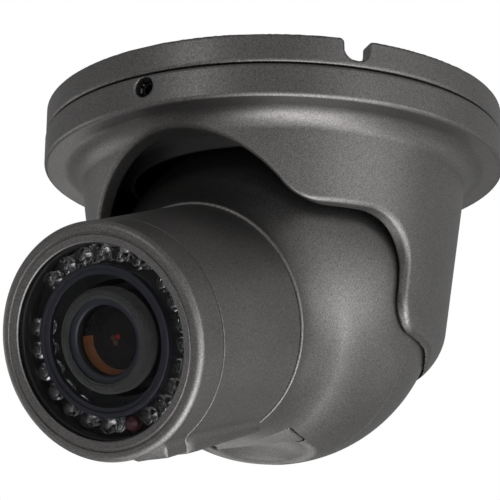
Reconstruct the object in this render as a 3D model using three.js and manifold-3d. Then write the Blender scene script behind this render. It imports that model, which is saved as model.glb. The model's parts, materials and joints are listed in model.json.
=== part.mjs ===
// Ceiling-mounted turret camera: a fixed base, a cover that pans under it, a ball that tilts inside
// the cover, and a varifocal lens with a ring of infrared lamps behind a window in the ball's barrel.
// Units are millimetres and degrees. The ceiling is the plane z = 0 and the camera hangs below it.
// Azimuths are measured from the front (-Y) towards +X.

import * as THREE from "three";
import { mergeVertices } from "three/addons/utils/BufferGeometryUtils.js";
import Module from "manifold-3d";

const wasm = await Module();
wasm.setup();

// ---------------------------------------------------------------- driving dimensions

const GAP = 0.3; // clearance between neighbouring pieces
const SLICK = 0.5; // clearance between the ball and the cover that carries it

// Base
const RIM_R = 73;
const RIM_HEIGHT = 8.8;
const RIM_WALL = 6;
const FLOOR_TOP = -7.2;
const FLOOR_BOTTOM = -9.2;
const SPIGOT_R = 66;
const SPIGOT_BOTTOM = -16.3;
const PLATFORM_R = 26;
const PLATFORM_THICK = 3.2;
const NOTCH_AZIMUTH = 50.8;
const NOTCH_WIDTH = 7.8;
const NOTCH_DEPTH = 6.7;
const NOTCH_CORNER = 1.5;
const MOUNT_PCD = 100;
const MOUNT_AZIMUTHS = [110, 230, 350];
const MOUNT_BOSS_R = 6;
const MOUNT_HOLE_R = 2.4;
const CABLE_HOLE_R = 7;
const CABLE_HOLE_Y = 14;

// Cover that pans
const COVER_R = 73.2;
const COVER_TOP = -RIM_HEIGHT - GAP;
const COVER_CREASE = -19.4;
const COVER_BORE_R = 66.8;
const COVER_FLOOR_TOP = -16.9;
const FLARE_R = 5.6;
const SKIRT_TOP_R = 60.9;
const SKIRT_TOP = -25.2;
const SKIRT_END_R = 54;
const SKIRT_END = -74;
const SKIRT_TUCK_R = 16;
const SKIRT_BOTTOM = -86;
const LOCK_Z = -12.9;
const LOCK_AZIMUTHS = [0, 120, 240];
const LOCK_HOLE_R = 3.1;
const LOCK_SCREW_R = 2.4;

// Ball and the opening that shows it
const BALL_Z = -60.3;
const BALL_R = 52;
const BALL_WALL = 2.5;
const SPLIT = 6.5; // where the ball's two halves meet, along the optical axis
const REST_PITCH = 18.83; // how far the optical axis points below the horizon
const ARCH_R = 38;
const ARCH_CORNER = 5;
const SHOULDER_Z = -45.5;
const CHEEK_Y = -12;
const PIVOT_R = 3.9;

// Barrel, along the optical axis from the ball's centre
const BARREL_DROP = 2.13; // the optical axis runs this far under the ball's centre
const COLLAR_R = 35.66;
const COLLAR_END = 45.6;
const BARREL_REAR_R = 34.9;
const BARREL_FRONT_R = 33.55;
const BARREL_END = 85.6;
const BARREL_BORE_R = 29.3;
const SPIGOT_FRONT_R = 31.3;
const SPIGOT_FRONT_END = 92;
const CAP_R = 33.5;
const CAP_END = 97.4;
const WINDOW_R = 27.5;
const RAIL_X = [5.2, 15.6];

// Window, lamps and lens
const GLASS_R = 28.6;
const GLASS_FACE = 96.6;
const GLASS_THICK = 1.3;
const BOARD_FACE = 86.3;
const LAMP_CIRCLE_R = 24.2;
const LAMP_R = 2.5;
const LAMP_TIP = 94.2;
const LAMP_GROUPS = [
  { first: -68.8, step: 14.33, count: 8 },
  { first: 55.4, step: 15.0, count: 6 },
  { first: 165.4, step: 15.37, count: 7 },
];
const SENSOR_ANGLE = -87.7;
const LENS_R = 12.5;
const LENS_FRONT = 92.6;
const LENS_REAR = 49.5;
const RING_R = 15.2;

// Finger recess and service cover under the ball
const FACET_DISTANCE = 49.08;
const FACET_ANGLE = 33.03; // from straight down towards the front, in the ball's own frame
const FACET_Y = [-3.28, 5.55];
const FACET_X = [-13.5, 16.8];
const DISH_ANGLE = 25.5;
const DISH_CIRCLE_R = 15.5;
const DISH_R = 34;

// ---------------------------------------------------------------- shape helpers

const radians = THREE.MathUtils.degToRad;

function place(geometry, position = [0, 0, 0], rotation = [0, 0, 0]) {
  const turn = new THREE.Euler(...rotation.map(radians));
  const matrix = new THREE.Matrix4().makeRotationFromEuler(turn);
  matrix.setPosition(...position);
  return geometry.clone().applyMatrix4(matrix);
}

// Shared vertices merged, empty triangles dropped, and every face turned outward.
function closed(geometry) {
  const bare = geometry.clone();
  bare.deleteAttribute("normal");
  bare.deleteAttribute("uv");
  const merged = mergeVertices(bare, 1e-4);
  const position = merged.getAttribute("position");
  const corners = [0, 1, 2].map(() => new THREE.Vector3());
  const index = merged.getIndex().array;
  const kept = [];
  let volume = 0;
  for (let i = 0; i < index.length; i += 3) {
    const [a, b, c] = index.slice(i, i + 3);
    if (a === b || b === c || c === a) continue;
    corners.forEach((corner, k) => corner.fromBufferAttribute(position, index[i + k]));
    volume += corners[0].dot(corners[1].clone().cross(corners[2]));
    kept.push(a, b, c);
  }
  if (volume < 0) {
    for (let i = 0; i < kept.length; i += 3) [kept[i], kept[i + 1]] = [kept[i + 1], kept[i]];
  }
  merged.setIndex(kept);
  return merged;
}

function toSolid(geometry) {
  const shape = closed(geometry);
  return new wasm.Manifold(new wasm.Mesh({
    numProp: 3,
    vertProperties: Float32Array.from(shape.getAttribute("position").array),
    triVerts: Uint32Array.from(shape.getIndex().array),
  }));
}

function toGeometry(solid) {
  const mesh = solid.getMesh();
  const geometry = new THREE.BufferGeometry();
  geometry.setAttribute("position", new THREE.BufferAttribute(mesh.vertProperties, 3));
  geometry.setIndex(new THREE.BufferAttribute(mesh.triVerts, 1));
  return geometry;
}

function join(...shapes) {
  return toGeometry(shapes.map(toSolid).reduce((whole, next) => whole.add(next)));
}

function cut(shape, ...tools) {
  return toGeometry(tools.map(toSolid).reduce((whole, tool) => whole.subtract(tool), toSolid(shape)));
}

function common(shape, tool) {
  return toGeometry(toSolid(shape).intersect(toSolid(tool)));
}

// A profile of [radius, z] points turned about Z. One that doesn't touch the axis closes on itself.
function turned(profile, segments = 40) {
  const ends = [profile[0], profile[profile.length - 1]];
  const outline = ends.every(([r]) => r === 0) ? profile : [...profile, profile[0]];
  const points = outline.map(([r, z]) => new THREE.Vector2(r, z));
  return place(new THREE.LatheGeometry(points, segments), [0, 0, 0], [90, 0, 0]);
}

function tube(innerR, outerR, from, to, segments = 32) {
  return turned([[innerR, from], [outerR, from], [outerR, to], [innerR, to]], segments);
}

// A cylinder along Z between two heights.
function rod(radius, from, to, segments = 20) {
  const upright = new THREE.CylinderGeometry(radius, radius, to - from, segments);
  return place(upright, [0, 0, (from + to) / 2], [90, 0, 0]);
}

// A box between two corners.
function block([x0, y0, z0], [x1, y1, z1]) {
  const box = new THREE.BoxGeometry(x1 - x0, y1 - y0, z1 - z0);
  return place(box, [(x0 + x1) / 2, (y0 + y1) / 2, (z0 + z1) / 2]);
}

function sphere(radius, segments = 40) {
  return place(new THREE.SphereGeometry(radius, segments, segments / 2), [0, 0, 0], [90, 0, 0]);
}

function prism(shape, depth, curveSegments = 12) {
  return new THREE.ExtrudeGeometry(shape, { depth, bevelEnabled: false, curveSegments });
}

// Points along an arc, angles in degrees from +r towards +z.
function arc(centreR, centreZ, radius, from, to, steps) {
  return Array.from({ length: steps + 1 }, (unused, i) => {
    const angle = radians(from + ((to - from) * i) / steps);
    return [centreR + radius * Math.cos(angle), centreZ + radius * Math.sin(angle)];
  });
}

// Moves a shape built around Z to an azimuth, lying along its outward radius at height z.
function radial(geometry, azimuth, z) {
  const outward = place(geometry, [0, 0, 0], [90, 0, 0]);
  return place(outward, [0, 0, z], [0, 0, azimuth]);
}

// ---------------------------------------------------------------- materials and nodes

const FINISH = {
  paint: { color: 0x4b4846, roughness: 0.48, metalness: 0.55 },
  blackPlastic: { color: 0x151516, roughness: 0.6, metalness: 0 },
  rubber: { color: 0x1a1a1b, roughness: 0.85, metalness: 0 },
  blueGreyRubber: { color: 0x33343f, roughness: 0.55, metalness: 0 },
  foam: { color: 0x2c2d2c, roughness: 0.95, metalness: 0 },
  blackSteel: { color: 0x101010, roughness: 0.35, metalness: 0.9 },
  steel: { color: 0xa8a8a6, roughness: 0.3, metalness: 1 },
  glass: { color: 0xd8dcdc, roughness: 0.03, metalness: 0 },
  coatedGlass: { color: 0x2a1712, roughness: 0.03, metalness: 0 },
  clearResin: { color: 0xc9cbd0, roughness: 0.08, metalness: 0 },
  circuitBoard: { color: 0x10140f, roughness: 0.6, metalness: 0 },
  chip: { color: 0x1c1c20, roughness: 0.4, metalness: 0 },
};

const camera = new THREE.Group();

// Everything in the tilting ball is modelled with +Z along the optical axis and +Y up the picture.
const ball = new THREE.Group();
ball.position.set(0, 0, BALL_Z);
ball.rotation.x = radians(90 + REST_PITCH);
camera.add(ball);

// Everything in the barrel is centred on the optical axis.
const barrel = new THREE.Group();
barrel.position.set(0, -BARREL_DROP, 0);
ball.add(barrel);

function add(group, name, geometry, finish) {
  const shape = closed(geometry).toNonIndexed();
  shape.computeVertexNormals();
  const mesh = new THREE.Mesh(shape, new THREE.MeshStandardMaterial({ name: finish, ...FINISH[finish] }));
  mesh.name = name;
  group.add(mesh);
}

// ---------------------------------------------------------------- base

function basePlate() {
  const grooveDepth = 1.4;
  const grooveHalf = 1.5;
  const coneR = PLATFORM_R + 9;
  const body = turned([
    [0, 0],
    [PLATFORM_R, 0],
    [coneR, FLOOR_TOP],
    [RIM_R - RIM_WALL, FLOOR_TOP],
    [RIM_R - RIM_WALL, 0],
    [RIM_R, 0],
    [RIM_R, -RIM_HEIGHT],
    [SPIGOT_R, -RIM_HEIGHT],
    [SPIGOT_R, LOCK_Z + grooveHalf],
    [SPIGOT_R - grooveDepth, LOCK_Z],
    [SPIGOT_R, LOCK_Z - grooveHalf],
    [SPIGOT_R, SPIGOT_BOTTOM],
    [SPIGOT_R - 3.5, SPIGOT_BOTTOM],
    [SPIGOT_R - 3.5, FLOOR_BOTTOM],
    [coneR - 1.5, FLOOR_BOTTOM],
    [PLATFORM_R - 1.5, -PLATFORM_THICK],
    [0, -PLATFORM_THICK],
  ]);
  const bosses = MOUNT_AZIMUTHS.map((azimuth) => (
    place(mountAxis(rod(MOUNT_BOSS_R, FLOOR_TOP - 1, 0)), [0, 0, 0], [0, 0, azimuth])
  ));
  const holes = MOUNT_AZIMUTHS.map((azimuth) => (
    place(mountAxis(rod(MOUNT_HOLE_R, FLOOR_BOTTOM - 2, 2, 16)), [0, 0, 0], [0, 0, azimuth])
  ));
  const cableHole = place(rod(CABLE_HOLE_R, -PLATFORM_THICK - 2, 2), [0, CABLE_HOLE_Y, 0]);
  return cut(join(body, ...bosses), ...holes, cableHole, cableNotch());
}

function mountAxis(geometry) {
  return place(geometry, [0, -MOUNT_PCD / 2, 0]);
}

// A round-bottomed slot through the rim, open at the ceiling, for a cable run along the surface.
function cableNotch() {
  const half = NOTCH_WIDTH / 2;
  const wide = half + NOTCH_CORNER;
  const slot = new THREE.Shape();
  slot.moveTo(-wide, 1);
  slot.lineTo(-wide, 0);
  slot.absarc(-wide, -NOTCH_CORNER, NOTCH_CORNER, Math.PI / 2, 0, true);
  slot.absarc(0, half - NOTCH_DEPTH, half, Math.PI, 2 * Math.PI, false);
  slot.absarc(wide, -NOTCH_CORNER, NOTCH_CORNER, Math.PI, Math.PI / 2, true);
  slot.lineTo(wide, 1);
  const upright = place(prism(slot, RIM_WALL + 4, 6), [0, 2 - RIM_R + RIM_WALL, 0], [90, 0, 0]);
  return place(upright, [0, 0, 0], [0, 0, NOTCH_AZIMUTH]);
}

function cableGrommet() {
  const under = -PLATFORM_THICK - GAP;
  const profile = [
    [3.2, under - 1.4],
    [CABLE_HOLE_R + 1.8, under - 1.4],
    [CABLE_HOLE_R + 1.8, under],
    [CABLE_HOLE_R - GAP, under],
    [CABLE_HOLE_R - GAP, -GAP],
    [3.2, -GAP],
  ];
  return place(turned(profile, 24), [0, CABLE_HOLE_Y, 0]);
}

// ---------------------------------------------------------------- cover

function coverBody() {
  const tuckAngle = 7.7;
  const tuckZ = SKIRT_END + SKIRT_TUCK_R * Math.sin(radians(tuckAngle));
  const tuckR = SKIRT_END_R - SKIRT_TUCK_R * Math.cos(radians(tuckAngle));
  const lowest = -THREE.MathUtils.radToDeg(Math.asin((tuckZ - SKIRT_BOTTOM) / SKIRT_TUCK_R));
  const cupR = BALL_R + SLICK;
  const cupEnd = -THREE.MathUtils.radToDeg(Math.asin((BALL_Z - SKIRT_BOTTOM) / cupR));
  return turned([
    [COVER_R, COVER_TOP],
    ...arc(COVER_R - 1.2, COVER_CREASE + 1.2, 1.2, 0, -90, 2),
    ...arc(SKIRT_TOP_R + FLARE_R, SKIRT_TOP, FLARE_R, 90, 180, 3),
    ...arc(tuckR, tuckZ, SKIRT_TUCK_R, -tuckAngle, lowest, 4),
    ...arc(0, BALL_Z, cupR, cupEnd, 0, 3),
    [cupR + 0.4, BALL_Z + 8],
    [55, SKIRT_TOP + 3],
    [55, COVER_FLOOR_TOP],
    [COVER_BORE_R, COVER_FLOOR_TOP],
    [COVER_BORE_R, COVER_TOP],
    [69, COVER_TOP],
    [69, COVER_TOP - 1.2],
    [71, COVER_TOP - 1.2],
    [71, COVER_TOP],
  ]);
}

// The arch over the barrel, with rounded corners into the shoulders, cut through the front wall.
function archTool() {
  const cornerZ = SHOULDER_Z + ARCH_CORNER;
  const rise = cornerZ - BALL_Z;
  const cornerX = Math.sqrt((ARCH_R + ARCH_CORNER) ** 2 - rise ** 2);
  const lean = Math.atan2(rise, cornerX);
  const outline = new THREE.Shape();
  outline.moveTo(-cornerX, SHOULDER_Z - 5);
  outline.lineTo(cornerX, SHOULDER_Z - 5);
  outline.absarc(cornerX, cornerZ, ARCH_CORNER, -Math.PI / 2, lean - Math.PI, true);
  outline.absarc(0, BALL_Z, ARCH_R, lean, Math.PI - lean, false);
  outline.absarc(-cornerX, cornerZ, ARCH_CORNER, -lean, -Math.PI / 2, true);
  return place(prism(outline, 60, 16), [0, -20, 0], [90, 0, 0]);
}

// What is cut away below the shoulders: back to the cheeks, then under them to the rear tongue.
function cheekTool() {
  const shoulderR = 16;
  const heelR = 9.5;
  const heelZ = -69;
  const side = new THREE.Shape();
  side.moveTo(-90, SHOULDER_Z);
  side.lineTo(CHEEK_Y - shoulderR, SHOULDER_Z);
  side.absarc(CHEEK_Y - shoulderR, SHOULDER_Z - shoulderR, shoulderR, Math.PI / 2, 0, true);
  side.absarc(CHEEK_Y + heelR, heelZ, heelR, Math.PI, 1.5 * Math.PI, false);
  side.lineTo(11, -80);
  side.quadraticCurveTo(19.4, -81, 25.6, -89.6);
  side.lineTo(25.6, -100);
  side.lineTo(-90, -100);
  return place(prism(side, 180, 6), [-90, 0, 0], [90, 90, 0]);
}

function coverYoke() {
  const lockHoles = LOCK_AZIMUTHS.flatMap((azimuth) => [
    radial(rod(LOCK_HOLE_R, 70.2, 75, 20), azimuth, LOCK_Z),
    radial(rod(LOCK_SCREW_R + GAP, 66, 71, 16), azimuth, LOCK_Z),
  ]);
  const pivotHoles = place(rod(PIVOT_R + GAP, -54.2, 54.2, 20), [0, 0, BALL_Z], [0, 90, 0]);
  return cut(coverBody(), archTool(), cheekTool(), pivotHoles, ...lockHoles);
}

// Keeps the ball down in the cover; its flared lip shows through the arch.
function ballRetainingRing() {
  return turned([
    [44.1, -24.6],
    [45.2, -24.6],
    [47.4, -21],
    [50.6, -18.4],
    [54, -17.4],
    [54, COVER_FLOOR_TOP + GAP],
    [60, COVER_FLOOR_TOP + GAP],
    [60, COVER_FLOOR_TOP + GAP + 1.8],
    [50, COVER_FLOOR_TOP + GAP + 1.8],
    [46, -17.5],
    [44.1, -21],
  ]);
}

// Socket set screw with a cone point; the socket faces outward.
function lockScrew(azimuth) {
  const head = 70.4;
  const body = turned([
    [0, 65.2],
    [0.3, 65.2],
    [LOCK_SCREW_R, 68],
    [LOCK_SCREW_R, head - 0.4],
    [LOCK_SCREW_R - 0.4, head],
    [0, head],
  ], 16);
  return radial(cut(body, rod(1.45, head - 2.4, head + 1, 6)), azimuth, LOCK_Z);
}

function pivotPin(side) {
  const pin = turned([
    [0, 44.4],
    [6.5, 44.4],
    [6.5, 46.1],
    [PIVOT_R, 46.1],
    [PIVOT_R, 53.8],
    [0, 53.8],
  ], 20);
  return place(pin, [0, 0, BALL_Z], [0, side * 90, 0]);
}

// ---------------------------------------------------------------- ball

// The facet's frame: +Z out of the facet, +Y along it towards the front.
function onFacet(geometry) {
  return place(geometry, [0, 0, 0], [90 - FACET_ANGLE, 0, 0]);
}

function onDish(geometry) {
  return place(geometry, [0, 0, 0], [90 - DISH_ANGLE, 0, 0]);
}

function ballShell() {
  return cut(sphere(BALL_R), sphere(BALL_R - BALL_WALL, 24));
}

function ballFrontHousing() {
  const collar = place(turned([
    [0, 33],
    [38, 33],
    [38, 36.6],
    [36.7, 39.6],
    [35.9, 42.6],
    [COLLAR_R, COLLAR_END],
    [0, COLLAR_END],
  ]), [0, -BARREL_DROP, 0]);
  const pad = block([-19, -52, 8], [19, -35.2, 33]);
  const cavity = cut(sphere(BALL_R - BALL_WALL, 24), pad);
  const bore = place(rod(COLLAR_R - 2.16, 33, 60, 32), [0, -BARREL_DROP, 0]);
  const front = block([-60, -60, SPLIT + GAP / 2], [60, 60, 60]);
  const pocket = onFacet(block(
    [FACET_X[0] - 0.9, FACET_Y[0] - GAP, FACET_DISTANCE - 1.9],
    [FACET_X[1] + 0.4, FACET_Y[1] + GAP, 56],
  ));
  const reach = Math.sqrt(BALL_R ** 2 - DISH_CIRCLE_R ** 2) + Math.sqrt(DISH_R ** 2 - DISH_CIRCLE_R ** 2);
  const dish = onDish(place(sphere(DISH_R, 32), [0, 0, reach]));
  const dishTool = common(dish, block([-30, -90, 0], [30, 0, 31]));
  const buttonHole = onFacet(rod(2.3, 34, 56, 16));
  const whole = cut(join(sphere(BALL_R), collar), cavity, bore, pocket, dishTool, buttonHole);
  return common(whole, front);
}

function ballRearHousing() {
  const cableWay = place(rod(30.6, 20, 60, 28), [0, 0, 0], [-168, 0, 0]);
  const rear = block([-60, -60, -60], [60, 60, SPLIT - GAP / 2]);
  const pivotHoles = place(rod(PIVOT_R + GAP, -60, 60, 20), [0, 0, 0], [0, 90, 0]);
  return cut(common(ballShell(), rear), cableWay, pivotHoles);
}

// A flat plate in the finger recess, over the menu button.
function serviceCover() {
  return onFacet(block(
    [FACET_X[0], FACET_Y[0], FACET_DISTANCE - 1.6],
    [FACET_X[1], FACET_Y[1], FACET_DISTANCE],
  ));
}

function menuButton() {
  return onFacet(turned([[0, 38.4], [3, 38.4], [3, 39.8], [2, 39.8], [2, 46.9], [0, 46.9]], 16));
}

// ---------------------------------------------------------------- barrel

// The flat-bottomed rail along the barrel's lower right side.
function rail(bottom, from, to) {
  return block([RAIL_X[0], bottom, from], [RAIL_X[1], -24, to]);
}

function barrelSleeve() {
  const skin = turned([
    [0, 34.5],
    [COLLAR_R - 2.5, 34.5],
    [COLLAR_R - 2.5, COLLAR_END + GAP],
    [BARREL_REAR_R, COLLAR_END + GAP],
    [BARREL_FRONT_R, BARREL_END],
    [SPIGOT_FRONT_R, BARREL_END],
    [SPIGOT_FRONT_R, 89.2],
    [30.3, 89.2],
    [30.3, 90.8],
    [SPIGOT_FRONT_R, 90.8],
    [SPIGOT_FRONT_R, SPIGOT_FRONT_END],
    [0, SPIGOT_FRONT_END],
  ], 40);
  const bore = turned([
    [0, 30],
    [BARREL_BORE_R, 30],
    [BARREL_BORE_R, 82.4],
    [BARREL_BORE_R - 1.8, 82.4],
    [BARREL_BORE_R - 1.8, BOARD_FACE - 1.9],
    [BARREL_BORE_R, BOARD_FACE - 1.9],
    [BARREL_BORE_R, 95],
    [0, 95],
  ], 32);
  return cut(join(skin, rail(-34.4, COLLAR_END + GAP, BARREL_END)), bore);
}

function frontCap() {
  const from = BARREL_END + 0.6;
  const skin = turned([
    [0, from],
    [CAP_R, from],
    ...arc(CAP_R - 2.1, CAP_END - 2.1, 2.1, 0, 90, 3),
    [30.5, CAP_END],
    [30.3, CAP_END - 0.6],
    [29.8, CAP_END - 0.6],
    [29.7, CAP_END + 0.2],
    [WINDOW_R, CAP_END - 0.25],
    [0, CAP_END - 0.25],
  ], 40);
  const bore = turned([
    [0, from - 1],
    [SPIGOT_FRONT_R + GAP, from - 1],
    [SPIGOT_FRONT_R + GAP, SPIGOT_FRONT_END + GAP],
    [GLASS_R + GAP, SPIGOT_FRONT_END + GAP],
    [GLASS_R + GAP, GLASS_FACE + GAP],
    [WINDOW_R, GLASS_FACE + GAP],
    [WINDOW_R, CAP_END + 1],
    [0, CAP_END + 1],
  ], 32);
  return cut(join(skin, rail(-33.8, from, 95.9)), bore, capScrewShape(1.6, 28, 40));
}

function capScrewShape(radius, from, to) {
  return place(radial(rod(radius, from, to, 12), 18, 0), [0, 0, 88]);
}

function lamp(angle) {
  const foot = BOARD_FACE + GAP;
  const shape = turned([
    [0, foot],
    [2.9, foot],
    [2.9, foot + 1],
    [LAMP_R, foot + 1],
    ...arc(0, LAMP_TIP - LAMP_R, LAMP_R, 0, 90, 2).slice(0, -1),
    [0, LAMP_TIP],
  ], 8);
  return aroundAxis(shape, LAMP_CIRCLE_R, angle);
}

function aroundAxis(geometry, radius, angle) {
  const position = [radius * Math.cos(radians(angle)), radius * Math.sin(radians(angle)), 0];
  return place(geometry, position, [0, 0, angle]);
}

// A lens adjusting ring with the finger-screw that also locks it.
function adjustingRing(from, to, knobAngle) {
  const ring = tube(LENS_R + GAP, RING_R, from, to, 24);
  const stem = radial(rod(1.3, RING_R - 1, 19, 10), knobAngle, 0);
  const head = radial(rod(2.4, 18.5, 22, 12), knobAngle, 0);
  return join(ring, place(stem, [0, 0, (from + to) / 2]), place(head, [0, 0, (from + to) / 2]));
}

function lensFrontRing() {
  const ring = turned([[9.85, 92.9], [12.1, 92.9], [12.1, 93.8], [9.85, 93.5]], 24);
  const notches = [98, 278].map((angle) => (
    place(block([11, -0.8, 93.2], [13, 0.8, 95]), [0, 0, 0], [0, 0, angle])
  ));
  return cut(ring, ...notches);
}

function lensMount() {
  const body = turned([
    [8.5, 44.2],
    [19, 44.2],
    [19, 46.2],
    [17, 46.2],
    [17, 54],
    [LENS_R + 0.4, 54],
    [LENS_R + 0.4, 49.1],
    [8.5, 49.1],
  ], 24);
  return cut(body, block([-30, -6.4, 46.5], [30, 6.4, 48]));
}

function mainBoard() {
  const board = rod(33, 12, 13.6, 32);
  const coil = place(rod(5, 13, 22, 16), [12, 10, 0]);
  const capacitor = place(rod(4, 13, 21, 16), [-14, 12, 0]);
  const processor = block([-8, -12, 13], [8, 4, 15.4]);
  const relay = block([12, -14, 13], [22, -4, 19]);
  return join(board, coil, capacitor, processor, relay);
}

// ---------------------------------------------------------------- assembly

add(camera, "base_plate", basePlate(), "paint");
add(camera, "cable_grommet", cableGrommet(), "rubber");
add(camera, "cover_yoke", coverYoke(), "paint");
add(camera, "pan_seal", tube(69.25, 70.75, COVER_TOP - 0.95, COVER_TOP - 0.05, 40), "rubber");
add(camera, "ball_retaining_ring", ballRetainingRing(), "paint");
LOCK_AZIMUTHS.forEach((azimuth, i) => {
  add(camera, `lock_screw_${i + 1}`, lockScrew(azimuth), "blackSteel");
});
[["right", 1], ["left", -1]].forEach(([name, side]) => {
  const washer = place(tube(PIVOT_R + GAP, 7.5, 46.4, 47.7, 20), [0, 0, BALL_Z], [0, side * 90, 0]);
  add(camera, `pivot_pin_${name}`, pivotPin(side), "steel");
  add(camera, `friction_washer_${name}`, washer, "blackPlastic");
});

add(ball, "ball_front_housing", ballFrontHousing(), "paint");
add(ball, "ball_rear_housing", ballRearHousing(), "paint");
add(ball, "service_cover", serviceCover(), "paint");
add(ball, "menu_button", menuButton(), "blackPlastic");
add(ball, "main_board", mainBoard(), "circuitBoard");
add(ball, "cable_connector", block([-9, -6, 3.5], [9, 2, 11.7]), "blackPlastic");

add(barrel, "barrel_sleeve", barrelSleeve(), "paint");
add(barrel, "front_cap", frontCap(), "paint");
add(barrel, "cap_screw", capScrewShape(1.3, 31.75, 33.2), "blackSteel");
add(barrel, "cap_oring", tube(30.45, 31.45, 89.4, 90.6, 40), "rubber");
add(barrel, "window_glass", rod(GLASS_R, GLASS_FACE - GLASS_THICK, GLASS_FACE, 40), "glass");
add(barrel, "window_retainer", tube(27, GLASS_R, 92.4, GLASS_FACE - GLASS_THICK - GAP), "blackPlastic");
add(barrel, "window_light_baffle", turned([
  [18.5, 92.6],
  [21.4, 92.6],
  [21.4, 95],
  [19.9, 95],
  [19.8, 94.3],
  [18.5, 94.3],
], 32), "blueGreyRubber");
add(barrel, "lamp_board", tube(16.5, 28.8, BOARD_FACE - 1.6, BOARD_FACE), "circuitBoard");
LAMP_GROUPS.flatMap(({ first, step, count }) => (
  Array.from({ length: count }, (unused, i) => first + step * i)
)).forEach((angle, i) => {
  add(barrel, `ir_lamp_${String(i + 1).padStart(2, "0")}`, lamp(angle), "clearResin");
});
const lightSensor = turned([[0, BOARD_FACE + GAP], [2.3, BOARD_FACE + GAP], [2.3, 89.6], [0, 90.4]], 12);
add(barrel, "light_sensor", aroundAxis(lightSensor, LAMP_CIRCLE_R, SENSOR_ANGLE), "clearResin");

add(barrel, "lens_body", turned([
  [6, LENS_REAR],
  [LENS_R, LENS_REAR],
  [LENS_R, LENS_FRONT],
  [10.2, LENS_FRONT],
  [10.2, 80],
  [6, 76],
], 28), "blackPlastic");
add(barrel, "zoom_ring", adjustingRing(60, 67, 60), "blackPlastic");
add(barrel, "focus_ring", adjustingRing(72, 79, 100), "blackPlastic");
add(barrel, "lens_front_ring", lensFrontRing(), "blueGreyRubber");
add(barrel, "lens_foam_ring", turned([
  [12.8, 90],
  [14.9, 90],
  [14.9, 93.7],
  [14.1, 94.7],
  [12.8, 95],
  [11.8, 94.7],
  [11.8, 94.2],
  [12.8, 94.1],
], 28), "foam");
add(barrel, "front_lens", turned([
  [0, 86.8],
  [9.8, 88],
  [9.8, 91.5],
  ...arc(0, 62.5, 30.4, 71, 90, 4).slice(1, -1),
  [0, 92.9],
], 24), "coatedGlass");
add(barrel, "rear_lens", turned([[0, 51], [5.6, 52.4], [5.6, 55], [0, 56.5]], 20), "coatedGlass");
add(barrel, "lens_mount", lensMount(), "blackPlastic");
add(barrel, "cut_filter", block([-7, -6, 46.8], [17, 6, 47.7]), "coatedGlass");
add(barrel, "sensor_board", block([-19, -19, 42.3], [19, 19, 43.9]), "circuitBoard");
add(barrel, "image_sensor", block([-4, -3.5, 44.2], [4, 3.5, 45.4]), "chip");

export default camera;
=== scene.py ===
# Looks for the ceiling turret camera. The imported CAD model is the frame: each visible node is
# rebuilt here as a finer mesh in the same place, and every other node keeps its CAD shape and gets
# a procedural material. Shapes are worked out in millimetres in one of four frames: ROW is the
# object's own, BALL and FACET have their origin at the tilt pivot, and BARREL lies on the lens axis.
# All but ROW turn with the ball, and their z points along the lens, or out of the plate in FACET.

import json
import math

import bpy
import numpy as np
from mathutils import Matrix, Vector


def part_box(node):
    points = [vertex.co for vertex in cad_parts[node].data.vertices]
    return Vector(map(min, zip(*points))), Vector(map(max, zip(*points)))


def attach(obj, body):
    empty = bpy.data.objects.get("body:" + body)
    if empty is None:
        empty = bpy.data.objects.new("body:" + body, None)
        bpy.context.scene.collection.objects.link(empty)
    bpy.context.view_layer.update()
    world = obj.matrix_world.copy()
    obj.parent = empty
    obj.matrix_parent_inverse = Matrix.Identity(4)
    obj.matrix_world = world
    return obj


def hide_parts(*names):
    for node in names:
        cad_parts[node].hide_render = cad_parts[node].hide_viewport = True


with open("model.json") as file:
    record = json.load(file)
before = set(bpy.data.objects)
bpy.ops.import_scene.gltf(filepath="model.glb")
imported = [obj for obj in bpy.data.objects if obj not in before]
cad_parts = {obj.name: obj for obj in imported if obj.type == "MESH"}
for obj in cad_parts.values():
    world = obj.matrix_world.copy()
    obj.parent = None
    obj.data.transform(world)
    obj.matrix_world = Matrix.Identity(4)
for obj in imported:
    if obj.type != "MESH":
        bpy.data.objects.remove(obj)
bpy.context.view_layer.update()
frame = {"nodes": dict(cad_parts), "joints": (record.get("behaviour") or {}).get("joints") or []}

MM = 0.001
JOINTS = {joint["name"]: joint for joint in frame["joints"]}


# ---------------------------------------------------------------- frames

def box_mm(node):
    low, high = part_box(node)
    return np.array(low) / MM, np.array(high) / MM


PIVOT = np.array(JOINTS["tilt"]["pos_m"]) / MM
OPTICAL = np.array(JOINTS["cap_pull_off"]["axis"])
UPWARD = np.cross(OPTICAL, [1.0, 0.0, 0.0])
BARREL_CENTRE = np.array(JOINTS["zoom"]["pos_m"]) / MM
BARREL_DROP = float(np.dot(PIVOT - BARREL_CENTRE, UPWARD))


def axes_at(origin, x, y, z):
    matrix = np.eye(4)
    matrix[:3, 0] = x
    matrix[:3, 1] = y
    matrix[:3, 2] = z
    matrix[:3, 3] = origin
    return matrix


ROW = np.eye(4)
BALL = axes_at(PIVOT, [1, 0, 0], UPWARD, OPTICAL)
BARREL = axes_at(BARREL_CENTRE, [1, 0, 0], UPWARD, OPTICAL)


def turned_to(azimuth, z):
    """Row frame at a height, with its z pointing out along an azimuth from the front towards +X."""
    a = math.radians(azimuth)
    outward = np.array([math.sin(a), -math.cos(a), 0.0])
    sideways = np.array([math.cos(a), math.sin(a), 0.0])
    return axes_at([0, 0, z], sideways, np.cross(outward, sideways), outward)


# ---------------------------------------------------------------- signed distance fields
# A field is a function of three arrays, negative inside the solid. Distances are in millimetres.

def join_soft(a, b, radius):
    """Union with a concave fillet."""
    if radius == 0:
        return np.minimum(a, b)
    corner = np.hypot(np.maximum(radius - a, 0), np.maximum(radius - b, 0))
    return np.maximum(np.minimum(a, b), radius) - corner


def common_soft(a, b, radius):
    """Intersection with a rounded edge."""
    return -join_soft(-a, -b, radius)


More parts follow.
